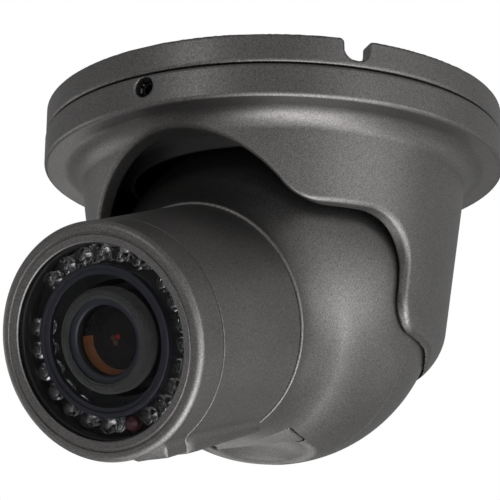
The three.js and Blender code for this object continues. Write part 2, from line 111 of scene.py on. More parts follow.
def cut_soft(a, tool, radius):
    """a without the tool, with a rounded edge."""
    return -join_soft(-a, tool, radius)


def slab_field(value, low, high):
    return np.maximum(low - value, value - high)


def box_field(coordinates, lows, highs, radius=0.0):
    """A box with rounded edges, in two or three dimensions."""
    outside = 0.0
    nearest = None
    for value, low, high in zip(coordinates, lows, highs):
        reach = np.abs(value - (low + high) / 2) - (high - low) / 2 + radius
        outside = outside + np.maximum(reach, 0) ** 2
        nearest = reach if nearest is None else np.maximum(nearest, reach)
    return np.sqrt(outside) + np.minimum(nearest, 0) - radius


def gradient(field, points, step=0.04):
    columns = []
    for axis in range(3):
        offset = np.zeros(3)
        offset[axis] = step
        ahead = field(*(points + offset).T)
        behind = field(*(points - offset).T)
        columns.append((ahead - behind) / (2 * step))
    return np.stack(columns, axis=1)


def unit(vectors):
    return vectors / np.maximum(np.linalg.norm(vectors, axis=1, keepdims=True), 1e-9)


def net(field, low, high, cell):
    """Quads over field = 0 inside a box: one vertex per crossed cell, then moved onto the field."""
    axes = [np.arange(a - 1.5 * cell, b + 2.5 * cell, cell) for a, b in zip(low, high)]
    slices = [field(*np.meshgrid([x], axes[1], axes[2], indexing="ij")) for x in axes[0]]
    values = np.concatenate(slices, axis=0)
    inside = values < 0
    cells = np.array(values.shape) - 1
    ids, spots, quads, flips = [], [], [], []
    for axis in range(3):
        others = [(axis + 1) % 3, (axis + 2) % 3]
        first = np.moveaxis(inside, axis, 0)[:-1]
        second = np.moveaxis(inside, axis, 0)[1:]
        crossed = np.argwhere(np.moveaxis(first != second, 0, axis))
        keep = np.all([(crossed[:, o] > 0) & (crossed[:, o] < cells[o]) for o in others], axis=0)
        crossed = crossed[keep]
        ahead = crossed.copy()
        ahead[:, axis] += 1
        a = values[tuple(crossed.T)]
        b = values[tuple(ahead.T)]
        spot = crossed.astype(float)
        spot[:, axis] += a / (a - b)
        corners = []
        for shift in ((0, 0), (1, 0), (1, 1), (0, 1)):
            cell_index = crossed.copy()
            cell_index[:, others[0]] -= shift[0]
            cell_index[:, others[1]] -= shift[1]
            corners.append(np.ravel_multi_index(tuple(cell_index.T), cells))
            ids.append(corners[-1])
            spots.append(spot)
        quads.append(np.stack(corners, axis=1))
        flips.append(a > 0)
    used, inverse = np.unique(np.concatenate(ids), return_inverse=True)
    spots = np.concatenate(spots)
    counts = np.bincount(inverse)
    verts = np.stack([np.bincount(inverse, spots[:, k]) / counts for k in range(3)], axis=1)
    verts = verts * cell + [axis[0] for axis in axes]
    faces = np.searchsorted(used, np.concatenate(quads))
    flips = np.concatenate(flips)
    faces[flips] = faces[flips][:, ::-1]
    for _ in range(3):
        slope = gradient(field, verts)
        steepness = np.maximum((slope ** 2).sum(axis=1), 0.05)
        move = (field(*verts.T) / steepness)[:, None] * slope
        verts = verts - np.clip(move, -0.5 * cell, 0.5 * cell)
    return verts, faces, unit(gradient(field, verts, 0.15))


# ---------------------------------------------------------------- outlines and turned shapes

def outline(corners, fillet=0.15, steps=3, closed=True):
    """Points and outward normals of an outline whose corners, (x, y) or (x, y, radius), are rounded.
    An open outline keeps its two ends, which lie on the axis."""
    points = [np.array(c[:2], float) for c in corners]
    radii = [c[2] if len(c) > 2 else fillet for c in corners]
    area = sum(a[0] * b[1] - b[0] * a[1] for a, b in zip(points, points[1:] + points[:1]))
    if area < 0:
        points.reverse()
        radii.reverse()
    spots, normals = [], []

    def outward(start, end):
        along = (end - start) / max(np.linalg.norm(end - start), 1e-9)
        return np.array([along[1], -along[0]])

    for i, point in enumerate(points):
        if not closed and i in (0, len(points) - 1):
            side = outward(points[0], points[1]) if i == 0 else outward(points[-2], points[-1])
            spots.append(point)
            normals.append(side)
            continue
        before = points[i - 1]
        after = points[(i + 1) % len(points)]
        n0, n1 = outward(before, point), outward(point, after)
        turn = math.atan2(n0[0] * n1[1] - n0[1] * n1[0], float(n0 @ n1))
        room = 0.48 * min(np.linalg.norm(point - before), np.linalg.norm(after - point))
        half = math.tan(abs(turn) / 2)
        if abs(turn) < 0.02:
            spots.append(point)
            normals.append((n0 + n1) / np.linalg.norm(n0 + n1))
            continue
        radius = min(radii[i], room / half)
        start = point + (before - point) / np.linalg.norm(before - point) * radius * half
        sign = 1 if turn > 0 else -1
        centre = start - sign * radius * n0
        for k in range(steps + 1):
            a = turn * k / steps
            n = np.array([n0[0] * math.cos(a) - n0[1] * math.sin(a),
                          n0[0] * math.sin(a) + n0[1] * math.cos(a)])
            spots.append(centre + sign * radius * n)
            normals.append(n)
    return np.array(spots), np.array(normals)


def rings(points, normals, angles, closed):
    """A mesh of one ring of vertices for each outline point, turned about z through the angles."""
    count = len(angles)
    cosines, sines = np.cos(angles), np.sin(angles)
    verts, slopes, starts, sizes = [], [], [], []
    total = 0
    for (r, z), (nr, nz) in zip(points, normals):
        size = 1 if abs(r) < 1e-9 else count
        c, s = cosines[:size], sines[:size]
        verts.append(np.stack([r * c, r * s, np.full(size, z)], axis=1))
        flat = 0.0 if size == 1 else nr
        slopes.append(np.stack([flat * c, flat * s, np.full(size, nz)], axis=1))
        starts.append(total)
        sizes.append(size)
        total += size
    faces = []
    pairs = list(zip(range(len(starts)), range(1, len(starts))))
    if closed:
        pairs.append((len(starts) - 1, 0))
    step = np.arange(count)
    following = (step + 1) % count
    for i, j in pairs:
        if sizes[i] == 1 and sizes[j] == 1:
            continue
        if sizes[i] == 1:
            group = np.stack([np.full(count, starts[i]), starts[j] + following, starts[j] + step], axis=1)
        elif sizes[j] == 1:
            group = np.stack([starts[i] + step, starts[i] + following, np.full(count, starts[j])], axis=1)
        else:
            group = np.stack([starts[i] + step, starts[i] + following,
                              starts[j] + following, starts[j] + step], axis=1)
        faces.extend(group.tolist())
    return np.concatenate(verts), faces, unit(np.concatenate(slopes))


def turned(corners, fillet=0.15, segments=96, steps=3):
    """A solid of revolution about z. An outline that starts and ends on the axis stays open there."""
    closed = not (corners[0][0] == 0 and corners[-1][0] == 0)
    points, normals = outline(corners, fillet, steps, closed)
    return rings(points, normals, np.linspace(0, 2 * math.pi, segments, endpoint=False), closed)


def prism(corners, low, high, edge=0.3, fillet=0.5, steps=3):
    """An outline in x and y, drawn out along z, with every edge rounded."""
    points, normals = outline(corners, fillet, steps)
    count = len(points)
    verts, slopes = [], []
    bends = [(low + edge, -1, k) for k in range(steps, -1, -1)]
    bends += [(high - edge, 1, k) for k in range(steps + 1)]
    for centre, side, k in bends:
        a = math.pi / 2 * k / steps
        inset = points - normals * edge * (1 - math.cos(a))
        z = centre + side * edge * math.sin(a)
        verts.append(np.column_stack([inset, np.full(count, z)]))
        slopes.append(np.column_stack([normals * math.cos(a), np.full(count, side * math.sin(a))]))
    step = np.arange(count)
    following = (step + 1) % count
    faces = []
    for i in range(len(bends) - 1):
        a, b = i * count, (i + 1) * count
        faces.extend(np.stack([a + step, a + following, b + following, b + step], axis=1).tolist())
    faces.append(step[::-1].tolist())
    faces.append((step + (len(bends) - 1) * count).tolist())
    return np.concatenate(verts), faces, unit(np.concatenate(slopes))


def moved(shape, matrix):
    verts, faces, normals = shape
    return verts @ matrix[:3, :3].T + matrix[:3, 3], faces, normals @ matrix[:3, :3].T


def parted(shape, test):
    """The quads whose middles pass a test, and the others, as two shapes."""
    verts, faces, normals = shape
    faces = np.array(faces)
    chosen = test(*verts[faces].mean(axis=1).T)
    halves = []
    for group in (faces[chosen], faces[~chosen]):
        used, compact = np.unique(group, return_inverse=True)
        halves.append((verts[used], compact.reshape(group.shape), normals[used]))
    return halves


def shifted(shape, x=0.0, y=0.0, z=0.0):
    verts, faces, normals = shape
    return verts + [x, y, z], faces, normals


def spun(shape, angle):
    """Turned about z by an angle in degrees."""
    a = math.radians(angle)
    matrix = np.eye(4)
    matrix[:2, :2] = [[math.cos(a), -math.sin(a)], [math.sin(a), math.cos(a)]]
    return moved(shape, matrix)


def rectangle(x0, y0, x1, y1):
    return [(x0, y0), (x1, y0), (x1, y1), (x0, y1)]


# ---------------------------------------------------------------- materials

def shader(name, colour, roughness, metallic=0.0, **sockets):
    material = bpy.data.materials.new(name)
    material.use_nodes = True
    principled = material.node_tree.nodes["Principled BSDF"]
    principled.inputs["Base Color"].default_value = (*colour, 1)
    principled.inputs["Roughness"].default_value = roughness
    principled.inputs["Metallic"].default_value = metallic
    for socket, value in sockets.items():
        principled.inputs[socket.replace("_", " ")].default_value = value
    return material


def node(material, kind, **settings):
    made = material.node_tree.nodes.new(kind)
    for key, value in settings.items():
        if hasattr(made, key):
            setattr(made, key, value)
        else:
            made.inputs[key.replace("_", " ")].default_value = value
    return made


def link(material, source, target):
    material.node_tree.links.new(source, target)


def place_of(material):
    return node(material, "ShaderNodeTexCoord").outputs["Object"]


def noise(material, size_mm, detail=2.0, roughness=0.5):
    made = node(material, "ShaderNodeTexNoise", Scale=1000 / size_mm, Detail=detail, Roughness=roughness)
    link(material, place_of(material), made.inputs["Vector"])
    return made.outputs["Fac"]


def spread(material, source, low, high, from_low=0.3, from_high=0.7):
    made = node(material, "ShaderNodeMapRange")
    for socket, value in (("From Min", from_low), ("From Max", from_high), ("To Min", low), ("To Max", high)):
        made.inputs[socket].default_value = value
    link(material, source, made.inputs["Value"])
    return made.outputs["Result"]


def tint(material, colour, shade):
    """The base colour multiplied by a grey that a texture gives."""
    made = node(material, "ShaderNodeVectorMath", operation="SCALE")
    made.inputs[0].default_value = colour
    link(material, shade, made.inputs["Scale"])
    link(material, made.outputs[0], material.node_tree.nodes["Principled BSDF"].inputs["Base Color"])


def multiply(material, a, b):
    made = node(material, "ShaderNodeMath", operation="MULTIPLY")
    link(material, a, made.inputs[0])
    link(material, b, made.inputs[1])
    return made.outputs[0]


def rough(material, value):
    link(material, value, material.node_tree.nodes["Principled BSDF"].inputs["Roughness"])


def bump(material, height, strength, depth_mm):
    made = node(material, "ShaderNodeBump", Strength=strength, Distance=depth_mm * MM)
    link(material, height, made.inputs["Height"])
    link(material, made.outputs["Normal"], material.node_tree.nodes["Principled BSDF"].inputs["Normal"])


PAINT = (0.190, 0.184, 0.181)


def paint_material():
    """Dark grey metallic paint: fine flakes under a satin coat, with a faint orange peel."""
    made = shader("camera_paint", PAINT, 0.44, 1.0)
    flakes = spread(made, noise(made, 0.42, 1.0), 0.74, 1.34)
    clouds = spread(made, noise(made, 18.0, 2.0), 0.95, 1.05)
    tint(made, PAINT, multiply(made, flakes, clouds))
    rough(made, spread(made, noise(made, 0.6, 2.0), 0.40, 0.48))
    bump(made, noise(made, 0.5, 3.0), 0.22, 0.05)
    return made


def plain_material(name, colour, roughness, grain_mm, depth_mm, metallic=0.0, contrast=0.12, **sockets):
    """A moulded or cast surface: a fine grain in colour, roughness and relief."""
    made = shader(name, colour, roughness, metallic, **sockets)
    grain = noise(made, grain_mm, 3.0)
    tint(made, colour, spread(made, grain, 1 - contrast, 1 + contrast))
    rough(made, spread(made, noise(made, grain_mm * 3, 2.0), roughness - 0.05, roughness + 0.05))
    bump(made, grain, 0.4, depth_mm)
    return made


def foam_material():
    colour = (0.030, 0.031, 0.029)
    made = shader("open_foam", colour, 0.96, Sheen_Weight=0.15)
    cells = node(made, "ShaderNodeTexVoronoi", Scale=1000 / 0.45)
    link(made, place_of(made), cells.inputs["Vector"])
    tint(made, colour, spread(made, cells.outputs["Distance"], 0.55, 1.5, 0.1, 0.7))
    bump(made, cells.outputs["Distance"], 0.8, 0.25)
    return made


def pane_material(name, reflectivity, colour):
    """Thin coated glass: clear, with a faint mirror image that grows towards the edges."""
    made = bpy.data.materials.new(name)
    made.use_nodes = True
    tree = made.node_tree
    tree.nodes.remove(tree.nodes["Principled BSDF"])
    clear = node(made, "ShaderNodeBsdfTransparent")
    clear.inputs["Color"].default_value = (*colour, 1)
    gloss = node(made, "ShaderNodeBsdfGlossy", Roughness=0.02)
    fresnel = node(made, "ShaderNodeFresnel", IOR=reflectivity)
    smears = spread(made, noise(made, 30.0, 2.0), 0.8, 1.2)
    mix = node(made, "ShaderNodeMixShader")
    link(made, multiply(made, fresnel.outputs[0], smears), mix.inputs[0])
    link(made, clear.outputs[0], mix.inputs[1])
    link(made, gloss.outputs[0], mix.inputs[2])
    link(made, mix.outputs[0], tree.nodes["Material Output"].inputs["Surface"])
    return made


def resin_material(name, colour):
    made = shader(name, colour, 0.04, 0.0, Transmission_Weight=1.0, IOR=1.5)
    bump(made, noise(made, 2.5, 1.0), 0.05, 0.1)
    return made


def brushed_material(name, colour, roughness):
    made = shader(name, colour, roughness, 1.0)
    marks = noise(made, 0.3, 4.0)
    tint(made, colour, spread(made, marks, 0.8, 1.15))
    rough(made, spread(made, marks, roughness - 0.08, roughness + 0.1))
    bump(made, marks, 0.2, 0.03)
    return made


def board_material():
    colour = (0.006, 0.007, 0.0065)
    made = shader("solder_mask", colour, 0.4)
    tracks = node(made, "ShaderNodeTexBrick", Scale=420.0)
    tracks.inputs["Mortar Size"].default_value = 0.03
    link(made, place_of(made), tracks.inputs["Vector"])
    tint(made, colour, spread(made, tracks.outputs["Fac"], 0.8, 1.8, 0, 1))
    bump(made, tracks.outputs["Fac"], 0.3, 0.05)
    return made


PAINTED = paint_material()
# Near-black paint for the cover's hollow side and the ball ring: painted shade for the dark hollow round the
# ball.
SHADED_INNER_PAINT = plain_material("inner_casting_painted_shade", (0.016, 0.0155, 0.015), 0.5, 0.6, 0.06)
BLACK_PLASTIC = plain_material("black_plastic", (0.012, 0.012, 0.013), 0.5, 0.35, 0.03)
RUBBER = plain_material("black_rubber", (0.016, 0.016, 0.016), 0.75, 0.3, 0.03)
SOFT_BAFFLE = plain_material("blue_grey_rubber", (0.012, 0.013, 0.021), 0.45, 0.4, 0.02)
LENS_RING = plain_material("blue_grey_ring", (0.018, 0.020, 0.030), 0.42, 0.3, 0.02)
FOAM = foam_material()
BLACK_STEEL = brushed_material("black_oxide", (0.03, 0.03, 0.032), 0.4)
STEEL = brushed_material("turned_steel", (0.6, 0.6, 0.58), 0.28)
REFLECTOR = brushed_material("lamp_reflector", (0.62, 0.61, 0.59), 0.2)
WINDOW = pane_material("window_glass", 1.14, (0.96, 0.96, 0.97))
LENS_GLASS = pane_material("front_lens_glass", 1.22, (0.96, 0.93, 0.92))
RESIN = resin_material("clear_resin", (0.93, 0.93, 0.95))
PINK_RESIN = resin_material("light_sensor_resin", (0.95, 0.72, 0.78))
BOARD = board_material()
CHIP = plain_material("sealed_chip", (0.02, 0.02, 0.025), 0.3, 0.5, 0.02)
# Amber for one arc of the lens seat: a painted reflection.
PAINTED_AMBER_REFLECTION = plain_material("painted_amber_reflection", (0.55, 0.22, 0.08), 0.3, 2.0, 0.01, 0.2)
SENSOR_CHIP = plain_material("light_sensor_chip", (0.30, 0.10, 0.13), 0.35, 0.5, 0.02)
# Dim amber for two dots on the second lens element: painted glints.
PAINTED_DIM_GLINT = plain_material("painted_dim_glint", (0.05, 0.018, 0.006), 0.15, 2.0, 0.01)
# Near-black, hardly reflecting glass for the lens elements, the cut filter and the seat's other arc: painted
# shade for the dark inside of the lens.
SHADED_GLASS = plain_material("near_black_glass_painted_shade", (0.003, 0.0025, 0.003), 0.25, 4.0, 0.005,
                            Specular_IOR_Level=0.12)
# Red for a dot on the second lens element: a painted glint.
PAINTED_RED_GLINT = plain_material("painted_red_glint", (0.30, 0.012, 0.02), 0.1, 2.0, 0.01, 0.7)


# ---------------------------------------------------------------- pieces

def piece(name, replaced, body, shapes, frame_matrix=ROW):
    """One object from (shape, material) pairs, in a frame given in millimetres."""
    verts, faces, normals, indices, materials = [], [], [], [], []
    offset = 0
    for shape, material in shapes:
        v, f, n = moved(shape, frame_matrix)
        if material not in materials:
            materials.append(material)
        quads = f.tolist() if isinstance(f, np.ndarray) else f
        faces.extend([[i + offset for i in face] for face in quads])
        indices.extend([materials.index(material)] * len(quads))
        verts.append(v)
        normals.append(n)
        offset += len(v)
    mesh = bpy.data.meshes.new(name)
    mesh.from_pydata((np.concatenate(verts) * MM).tolist(), [], faces)
    for material in materials:
        mesh.materials.append(material)
    mesh.polygons.foreach_set("material_index", indices)
    mesh.polygons.foreach_set("use_smooth", [True] * len(mesh.polygons))
    mesh.normals_split_custom_set_from_vertices(np.concatenate(normals).tolist())
    mesh.validate()
    made = bpy.data.objects.new(name, mesh)
    bpy.context.scene.collection.objects.link(made)
    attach(made, body)
    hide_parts(*replaced)
    return made


# ---------------------------------------------------------------- base

base_low, base_high = box_mm("base_plate")
RIM_R = base_high[0]
RIM_BOTTOM = -8.8
RIM_WALL = 6
SPIGOT_R = RIM_R - 7
SPIGOT_WALL = 3.5
SPIGOT_BOTTOM = base_low[2]
FLOOR_TOP = -7.2
FLOOR_BOTTOM = FLOOR_TOP - 2
PAD_R = 26
PAD_THICK = 3.2
SCREW_CIRCLE_R = 50
SCREW_AZIMUTHS = (110, 230, 350)
SCREW_HOLE_R = 2.4
BOSS_R = 6
CABLE_Y = 14
CABLE_R = 7
NOTCH_AZIMUTH = math.radians(50.8)
NOTCH_HALF = 3.9
NOTCH_CENTRE_Z = -2.8
NOTCH_INNER_R = 64
LOCK_Z = -12.9
LOCK_AZIMUTHS = (0, 120, 240)
GROOVE_DEPTH = 1.4


def notch_field(x, y, z):
    """The cable notch: a channel through the rim with a round bottom and flared top edges."""
    outward = x * math.sin(NOTCH_AZIMUTH) - y * math.cos(NOTCH_AZIMUTH)
    along = x * math.cos(NOTCH_AZIMUTH) + y * math.sin(NOTCH_AZIMUTH)
    bottom = np.hypot(along, z - NOTCH_CENTRE_Z) - NOTCH_HALF
    sides = np.maximum(np.abs(along) - NOTCH_HALF, NOTCH_CENTRE_Z - z)
    return np.maximum(join_soft(np.minimum(bottom, sides), -z, 1.5), NOTCH_INNER_R - outward)


def base_field(x, y, z):
    """Rim, floor and spigot, with a raised pad in the middle and a boss round each ceiling screw."""
    r = np.hypot(x, y)
    rim = box_field((r, z), (RIM_R - RIM_WALL, RIM_BOTTOM), (RIM_R, 0), 0.7)
    spigot = np.maximum(slab_field(r, SPIGOT_R - SPIGOT_WALL, SPIGOT_R),
                        slab_field(z, SPIGOT_BOTTOM, FLOOR_TOP - 0.5))
    groove = r - SPIGOT_R + GROOVE_DEPTH - np.abs(z - LOCK_Z) * 0.93
    spigot = np.maximum(spigot, groove * 0.73)
    floor = np.maximum(r - SPIGOT_R, slab_field(z, FLOOR_BOTTOM, FLOOR_TOP))
    slope = (r - PAD_R + z * 1.25) * 0.62
    under = np.maximum((r - PAD_R + 1.5 + (z + PAD_THICK) * 1.5) * 0.55, z + PAD_THICK)
    pad = cut_soft(common_soft(slope, z, 0.6), under, 0.3)
    pad = np.maximum(pad, FLOOR_BOTTOM - z)
    body = join_soft(join_soft(rim, floor, 0.8), spigot, 0.3)
    body = join_soft(body, pad, 1.0)
    body = cut_soft(body, under, 0.3)
    for azimuth in SCREW_AZIMUTHS:
        a = math.radians(azimuth)
        reach = np.hypot(x - SCREW_CIRCLE_R * math.sin(a), y + SCREW_CIRCLE_R * math.cos(a))
        boss = common_soft(reach - BOSS_R, slab_field(z, FLOOR_TOP - 1, 0), 0.5)
        body = cut_soft(join_soft(body, boss, 1.0), reach - SCREW_HOLE_R, 0.4)
    body = cut_soft(body, np.hypot(x, y - CABLE_Y) - CABLE_R, 0.6)
    return cut_soft(body, notch_field(x, y, z), 0.5)


piece("base_ring", ["base_plate"], "base",
      [(net(base_field, base_low, base_high, 0.8), PAINTED)])

grommet_low, grommet_high = box_mm("cable_grommet")
grommet_z = (grommet_low[2], grommet_high[2])
piece("cord_grommet", ["cable_grommet"], "base", [(turned([
    (3.2, grommet_z[0], 0.6),
    (8.8, grommet_z[0], 0.5),
    (8.8, grommet_z[0] + 1.4, 0.3),
    (6.7, grommet_z[0] + 1.4),
    (6.7, grommet_z[1], 0.3),
    (5.6, grommet_z[1], 0.3),
    (5.2, grommet_z[1] - 1.2, 0.5),
    (3.2, grommet_z[1] - 1.6, 0.6),
]), RUBBER)], axes_at([0, CABLE_Y, 0], [1, 0, 0], [0, 1, 0], [0, 0, 1]))


# ---------------------------------------------------------------- cover

cover_low, cover_high = box_mm("cover_yoke")
COVER_R = cover_high[0]
COVER_TOP = cover_high[2]
CREASE_Z = -19.4
SKIRT_TOP = (60.9, -25.2)
SKIRT_END = (54.0, -74.0)
TUCK_Z = -87.86
BALL_Z = PIVOT[2]
CUP_R = 52.5
ARCH_R = 38
SHOULDER_Z = -45.5
SHOULDER_R = 16
CHEEK_Y = -12
LIP_R = 1.3
BORE_R = 66.8
BORE_BOTTOM = -16.9
SEAL_GROOVE = (69, 71)
PIN_HOLE_R = 4.2
PIN_REACH = 54.2
LOCK_HOLE_R = 3.1


def slant(u, v, first, second):
    """Signed distance from a line through two points, positive on its left side."""
    du, dv = second[0] - first[0], second[1] - first[1]
    return ((v - first[1]) * du - (u - first[0]) * dv) / math.hypot(du, dv)


def cover_outside(r, z):
    disc = box_field((r, z), (-COVER_R, CREASE_Z), (COVER_R, COVER_TOP), 1.2)
    skirt = slant(r, z, SKIRT_END, SKIRT_TOP)
    skirt = common_soft(-skirt, TUCK_Z - z, 16)
    skirt = np.maximum(skirt, z - COVER_TOP)
    return join_soft(disc, skirt, 5.6)


def cover_hollow(r, z, from_pivot):
    cup = from_pivot - CUP_R
    neck = np.maximum(slant(r, z, (55.0, -22.2), (52.9, -52.3)), BALL_Z - z)
    bore = common_soft(r - BORE_R, BORE_BOTTOM - z, 0.4)
    return np.minimum(join_soft(cup, neck, 1.0), bore)


def cover_cut(x, y, z):
    """What is open at the front: the arch over the barrel, then the cheeks and the rear tongue."""
    arch = join_soft(np.hypot(x, z - BALL_Z) - ARCH_R, z - SHOULDER_Z, 5)
    arch = np.maximum(arch, y - CHEEK_Y + SHOULDER_R)
    side = common_soft(y - CHEEK_Y, z - SHOULDER_Z, SHOULDER_R)
    under = -slant(y, z, (11.0, -80.0), (-2.5, -78.5))
    rear = slant(y, z, (19.4, -81.0), (25.6, -89.6))
    heel = join_soft(side, common_soft(under, rear, 8), 9.5)
    return np.minimum(arch, heel)


def radial_hole(x, y, z, azimuth, radius, height):
    """The field of a round hole through the rim, and how far out along it a point lies."""
    a = math.radians(azimuth)
    along = x * math.cos(a) + y * math.sin(a)
    outward = x * math.sin(a) - y * math.cos(a)
    return np.hypot(along, z - height) - radius, outward


def cover_field(x, y, z):
    r = np.hypot(x, y)
    body = cut_soft(cover_outside(r, z), cover_cut(x, y, z), LIP_R)
    from_pivot = np.sqrt(x * x + y * y + (z - BALL_Z) ** 2)
    body = cut_soft(body, cover_hollow(r, z, from_pivot), 0.6)
    seal_groove = np.maximum(slab_field(r, *SEAL_GROOVE), COVER_TOP - 1.2 - z)
    body = np.maximum(body, -seal_groove)
    pivots = np.maximum(np.hypot(y, z - BALL_Z) - PIN_HOLE_R, np.abs(x) - PIN_REACH)
    body = np.maximum(body, -pivots)
    for azimuth in LOCK_AZIMUTHS:
        hole, outward = radial_hole(x, y, z, azimuth, LOCK_HOLE_R, LOCK_Z)
        body = cut_soft(body, np.maximum(hole, 70.2 - outward), 0.35)
        body = np.maximum(body, -np.maximum(hole + 0.4, 60 - outward))
    return body


def inside_cover(x, y, z):
    """Whether a point is on the cover's hollow side, which gets near-black paint as painted shade."""
    return cover_hollow(np.hypot(x, y), z, np.sqrt(x * x + y * y + (z - BALL_Z) ** 2)) < 0.25


# The hollow side gets the near-black paint: painted shade for the inside of the cover.
cover_inside, cover_skin = parted(net(cover_field, cover_low, cover_high, 0.7), inside_cover)
piece("cover_shell", ["cover_yoke"], "cover", [(cover_skin, PAINTED), (cover_inside, SHADED_INNER_PAINT)])

ring_low, ring_high = box_mm("ball_retaining_ring")
# The ring gets the near-black paint: painted shade for the hollow above the ball.
piece("ball_ring", ["ball_retaining_ring"], "cover", [(turned([
    (44.1, ring_low[2], 0.4),
    (45.3, ring_low[2], 0.4),
    (47.4, -21.0, 3.0),
    (50.6, -18.4, 3.0),
    (54.0, -17.4, 1.0),
    (54.0, ring_high[2] - 1.8),
    (60.0, ring_high[2] - 1.8, 0.3),
    (60.0, ring_high[2], 0.3),
    (50.0, ring_high[2], 1.0),
    (46.0, -17.5, 2.0),
    (44.1, -21.0, 2.0),
], segments=160), SHADED_INNER_PAINT)])


def socket_screw(radius, tip, head, socket, sides=6):
    """A set screw about z: a cone point, a bevelled rim and a hexagonal socket in its outer end."""
    body = turned([
        (0, tip),
        (0.4, tip, 0.1),
        (radius, tip + radius, 0.3),
        (radius, head, 0.35),
        (socket + 0.25, head, 0.1),
        (socket, head - 0.4, 0.1),
        (socket, head - 2.2, 0.2),
        (0, head - 2.4),
    ], segments=48)
    walls = turned([
        (0, head - 2.3),
        (socket * 0.92, head - 2.3, 0.1),
        (socket * 0.7, head - 2.25),
        (0, head - 2.25),
    ], segments=sides)
    return [(body, BLACK_STEEL), (walls, BLACK_STEEL)]


for number, azimuth in enumerate(LOCK_AZIMUTHS, 1):
    screw = f"lock_screw_{number}"
    piece(f"lock_set_screw_{number}", [screw], screw,
          socket_screw(2.4, 65.4, 70.4, 1.35), turned_to(azimuth, LOCK_Z))


# ---------------------------------------------------------------- ball

BALL_R = 52
BALL_WALL = 2.5
SPLIT = 6.5
GAP = 0.3
SEAM = 0.09
COLLAR_R = 35.66
COLLAR_END = 45.6
COLLAR_WALL = 2.16
BORE_START = 33
FACET_DISTANCE = 49.08
FACET_ANGLE = math.radians(33.03)
DISH_ANGLE = math.radians(25.5)
DISH_R = 34
DISH_CIRCLE_R = 15.5
DISH_REACH = math.sqrt(BALL_R ** 2 - DISH_CIRCLE_R ** 2) + math.sqrt(DISH_R ** 2 - DISH_CIRCLE_R ** 2)
FACET_X = (-13.5, 16.8)
FACET_Y = (-3.28, 5.55)
PLATE_THICK = 1.6
REAR_WAY_ANGLE = math.radians(168)
REAR_WAY_R = 30.6
PIN_BORE_R = 4.2

FACET = BALL @ axes_at([0, 0, 0], [1, 0, 0], [0, math.sin(FACET_ANGLE), math.cos(FACET_ANGLE)],
                       [0, -math.cos(FACET_ANGLE), math.sin(FACET_ANGLE)])


def facet_coordinates(x, y, z):
    """Across, along and out of the service plate, for points in the ball's frame."""
    out = -y * math.cos(FACET_ANGLE) + z * math.sin(FACET_ANGLE)
    forward = y * math.sin(FACET_ANGLE) + z * math.cos(FACET_ANGLE)
    return x, forward, out


def front_half_field(x, y, z):
    """The half with the collar, the dish under it and the pocket for the service plate."""
    from_centre = np.sqrt(x * x + y * y + z * z)
    r = np.hypot(x, y + BARREL_DROP)
    collar = common_soft(r - COLLAR_R, z - COLLAR_END, 0.5)
    body = join_soft(from_centre - BALL_R, collar, 5.5)
    lift = y + DISH_REACH * math.cos(DISH_ANGLE)
    forward = z - DISH_REACH * math.sin(DISH_ANGLE)
    dish = np.sqrt(x * x + lift ** 2 + forward ** 2) - DISH_R
    dish = common_soft(dish, z - 31, 2.0)
    body = cut_soft(body, dish, 1.5)
    fx, fy, fz = facet_coordinates(x, y, z)
    pocket = box_field((fx, fy, fz), (FACET_X[0] - 0.9, FACET_Y[0] - GAP, FACET_DISTANCE - 1.9),
                       (FACET_X[1] + 0.4, FACET_Y[1] + 0.5, 60), 0.3)
    body = cut_soft(body, pocket, 0.2)
    body = np.maximum(body, -np.maximum(np.hypot(fx, fy) - 2.3, 34 - fz))
    hollow = np.maximum(from_centre - BALL_R + BALL_WALL,
                        -box_field((x, y, z), (-19, -BALL_R, 8), (19, -35.2, BORE_START), 1.0))
    bore = np.maximum(r - COLLAR_R + COLLAR_WALL, BORE_START - z)
    body = cut_soft(cut_soft(body, hollow, 0.3), bore, 0.3)
    return np.maximum(body, SPLIT + SEAM - z)


def rear_half_field(x, y, z):
    """The half with the pivot bore and the way in for the cable."""
    from_centre = np.sqrt(x * x + y * y + z * z)
    shell = np.maximum(from_centre - BALL_R, BALL_R - BALL_WALL - from_centre)
    body = np.maximum(shell, z - SPLIT + SEAM)
    a = REAR_WAY_ANGLE
    way = np.maximum(np.hypot(x, y * math.cos(a) + z * math.sin(a)) - REAR_WAY_R,
                     -(y * math.sin(a) - z * math.cos(a)))
    body = cut_soft(body, way, 0.8)
    return np.maximum(body, PIN_BORE_R - np.hypot(y, z))


def crisp_rim(shape, plane):
    """Draws the vertices near the edge between the ball's skin and its seam onto that edge."""
    verts, faces, normals = shape
    reach = 0.45
    off_skin = np.abs(np.linalg.norm(verts, axis=1) - BALL_R)
    near = (off_skin < reach) & (np.abs(verts[:, 2] - plane) < reach)
    rim = unit(verts[near, :2]) * math.sqrt(BALL_R ** 2 - plane ** 2)
    verts[near] = np.column_stack([rim, np.full(len(rim), plane)])
    normals[near] = verts[near] / BALL_R
    return verts, faces, normals


front_half = net(front_half_field, [-BALL_R, -BALL_R, SPLIT], [BALL_R, BALL_R, BALL_R], 0.7)
piece("ball_front_half", ["ball_front_housing"], "ball",
      [(crisp_rim(front_half, SPLIT + SEAM), PAINTED)], BALL)
rear_half = net(rear_half_field, [-BALL_R] * 3, [BALL_R, BALL_R, SPLIT], 0.9)
piece("ball_rear_half", ["ball_rear_housing"], "ball",
      [(crisp_rim(rear_half, SPLIT - SEAM), PAINTED)], BALL)

